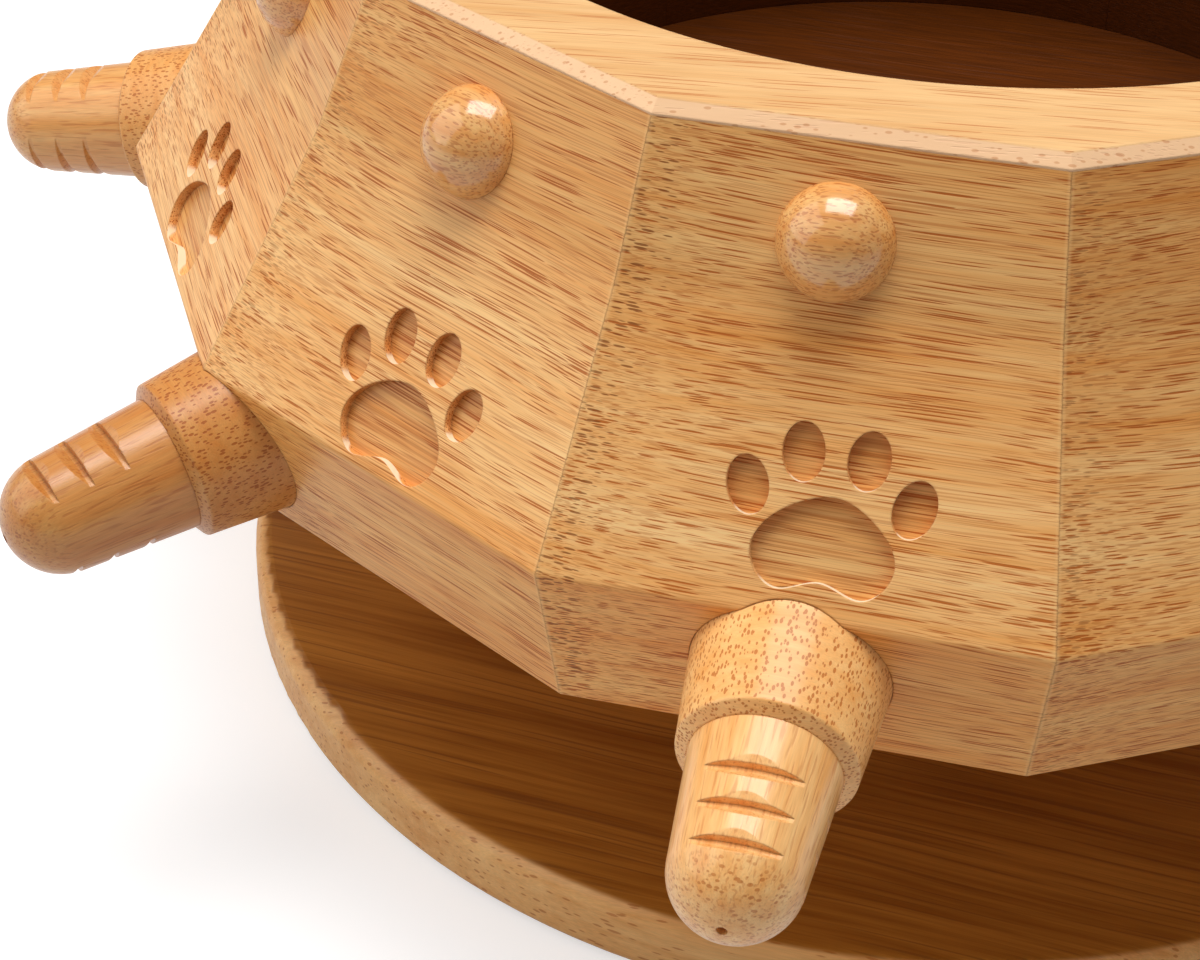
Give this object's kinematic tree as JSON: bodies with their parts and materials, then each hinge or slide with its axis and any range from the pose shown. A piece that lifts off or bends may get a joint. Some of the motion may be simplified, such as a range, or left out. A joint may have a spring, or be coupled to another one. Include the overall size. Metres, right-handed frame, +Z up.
{
  "type": "slow feeder bowl",
  "caption": "Faceted wooden slow feeder bowl on a round turntable base, with half-round buttons, engraved paws and pull-out wooden teats round its lower edge.",
  "frame": {"origin": "centre of the underside of the base, on the surface it stands on", "axes": "+Z up along the axis the bowl turns about; a face with a teat in its middle looks along -Y"},
  "size_m": [0.227, 0.227, 0.0953],
  "materials": {
    "stand_wood": "satin varnish",
    "stave_wood": "satin varnish",
    "rim_wood": "satin varnish",
    "floor_wood": "oiled",
    "carrier_wood": "oiled",
    "button_wood": "satin varnish",
    "collar_wood": "satin varnish",
    "teat_wood": "satin varnish",
    "pad_rubber": "matt",
    "screw_steel": "zinc plated",
    "race_steel": "zinc plated",
    "retainer_plastic": "plain"
  },
  "bodies": {
    "stand": {"base_plate": "stand_wood", "foot_pads": "pad_rubber", "pedestal_column": "stand_wood", "column_screws": "screw_steel", "race_lower_plate": "race_steel", "race_lower_screws": "screw_steel", "pivot_bolt": "screw_steel"},
    "ball_cage": {"race_balls": "screw_steel", "ball_retainer": "retainer_plastic"},
    "carrier": {"race_upper_plate": "race_steel", "race_upper_screws": "screw_steel", "carrier_disc": "carrier_wood", "drive_pegs": "carrier_wood"},
    "bowl": {"bowl_floor": "floor_wood", "rim_plate": "rim_wood", "stave_01": "stave_wood", "stave_02": "stave_wood", "stave_03": "stave_wood", "stave_04": "stave_wood", "stave_05": "stave_wood", "stave_06": "stave_wood", "stave_07": "stave_wood", "stave_08": "stave_wood", "stave_09": "stave_wood", "stave_10": "stave_wood", "stave_11": "stave_wood", "stave_12": "stave_wood", "button_01": "button_wood", "button_02": "button_wood", "button_03": "button_wood", "button_04": "button_wood", "button_05": "button_wood", "button_06": "button_wood", "button_07": "button_wood", "button_08": "button_wood", "button_09": "button_wood", "button_10": "button_wood", "button_11": "button_wood", "button_12": "button_wood", "collar_1": "collar_wood", "collar_2": "collar_wood", "collar_3": "collar_wood", "collar_4": "collar_wood", "collar_5": "collar_wood", "collar_6": "collar_wood", "collar_7": "collar_wood", "collar_8": "collar_wood"},
    "teat_body_1": {"teat_1": "teat_wood"},
    "teat_body_2": {"teat_2": "teat_wood"},
    "teat_body_3": {"teat_3": "teat_wood"},
    "teat_body_4": {"teat_4": "teat_wood"},
    "teat_body_5": {"teat_5": "teat_wood"},
    "teat_body_6": {"teat_6": "teat_wood"},
    "teat_body_7": {"teat_7": "teat_wood"},
    "teat_body_8": {"teat_8": "teat_wood"}
  },
  "joints": [
    {"name": "swivel", "type": "hinge", "parent": "stand", "child": "carrier", "pos_m": [0, 0, 0.02505], "axis": [0, 0, 1], "continuous": true},
    {"name": "cage_spin", "type": "hinge", "parent": "stand", "child": "ball_cage", "pos_m": [0, 0, 0.02505], "axis": [0, 0, 1], "continuous": true},
    {"name": "bowl_lift", "type": "slide", "parent": "carrier", "child": "bowl", "axis": [0, 0, 1], "range_m": [0, 0.04]},
    {"name": "teat_pull_1", "type": "slide", "parent": "bowl", "child": "teat_body_1", "axis": [0, -0.986, -0.1668], "range_m": [0, 0.014]},
    {"name": "teat_pull_2", "type": "slide", "parent": "bowl", "child": "teat_body_2", "axis": [0.6972, -0.6972, -0.1668], "range_m": [0, 0.014]},
    {"name": "teat_pull_3", "type": "slide", "parent": "bowl", "child": "teat_body_3", "axis": [0.986, 0, -0.1668], "range_m": [0, 0.014]},
    {"name": "teat_pull_4", "type": "slide", "parent": "bowl", "child": "teat_body_4", "axis": [0.6972, 0.6972, -0.1668], "range_m": [0, 0.014]},
    {"name": "teat_pull_5", "type": "slide", "parent": "bowl", "child": "teat_body_5", "axis": [0, 0.986, -0.1668], "range_m": [0, 0.014]},
    {"name": "teat_pull_6", "type": "slide", "parent": "bowl", "child": "teat_body_6", "axis": [-0.6972, 0.6972, -0.1668], "range_m": [0, 0.014]},
    {"name": "teat_pull_7", "type": "slide", "parent": "bowl", "child": "teat_body_7", "axis": [-0.986, 0, -0.1668], "range_m": [0, 0.014]},
    {"name": "teat_pull_8", "type": "slide", "parent": "bowl", "child": "teat_body_8", "axis": [-0.6972, -0.6972, -0.1668], "range_m": [0, 0.014]}
  ],
  "couplings": [
    {"joint": "cage_spin", "follows": "swivel", "ratio": 0.5}
  ]
}
